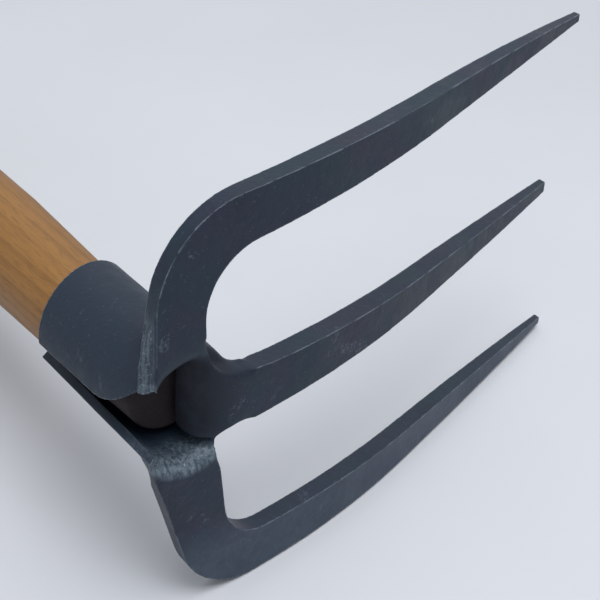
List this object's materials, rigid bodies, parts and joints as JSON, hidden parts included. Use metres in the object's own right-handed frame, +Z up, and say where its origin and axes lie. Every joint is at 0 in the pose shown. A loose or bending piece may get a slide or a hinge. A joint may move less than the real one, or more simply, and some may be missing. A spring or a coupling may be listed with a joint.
{
  "type": "three-prong fork hoe",
  "caption": "Hand-forged fork hoe: long tapered prongs turned back towards a wooden handle, which sits in a rolled steel socket with an open seam.",
  "frame": {"origin": "middle of the hoe's plan, on the floor under it", "axes": "+Y along the handle from the head to the butt, +X along the prongs from the socket to the tips, +Z up. The hoe lies on its side, on the lower prong and the butt."},
  "size_m": [0.2767, 1.0067, 0.17],
  "materials": {
    "handle_wood": "sanded, oiled, straight grain along the handle",
    "forged_steel": "blue-black forge scale under thin dark paint, satin, edges rubbed lighter",
    "weld_metal": "rough bead under the same thin dark paint, brighter on the crests"
  },
  "bodies": {
    "root": {"handle": "handle_wood", "socket": "forged_steel", "centre_prong": "forged_steel", "upper_prong": "forged_steel", "lower_prong": "forged_steel", "upper_weld": "weld_metal", "lower_weld": "weld_metal", "upper_fillet": "weld_metal", "lower_fillet": "weld_metal", "centre_fillet": "weld_metal"}
  },
  "joints": []
}
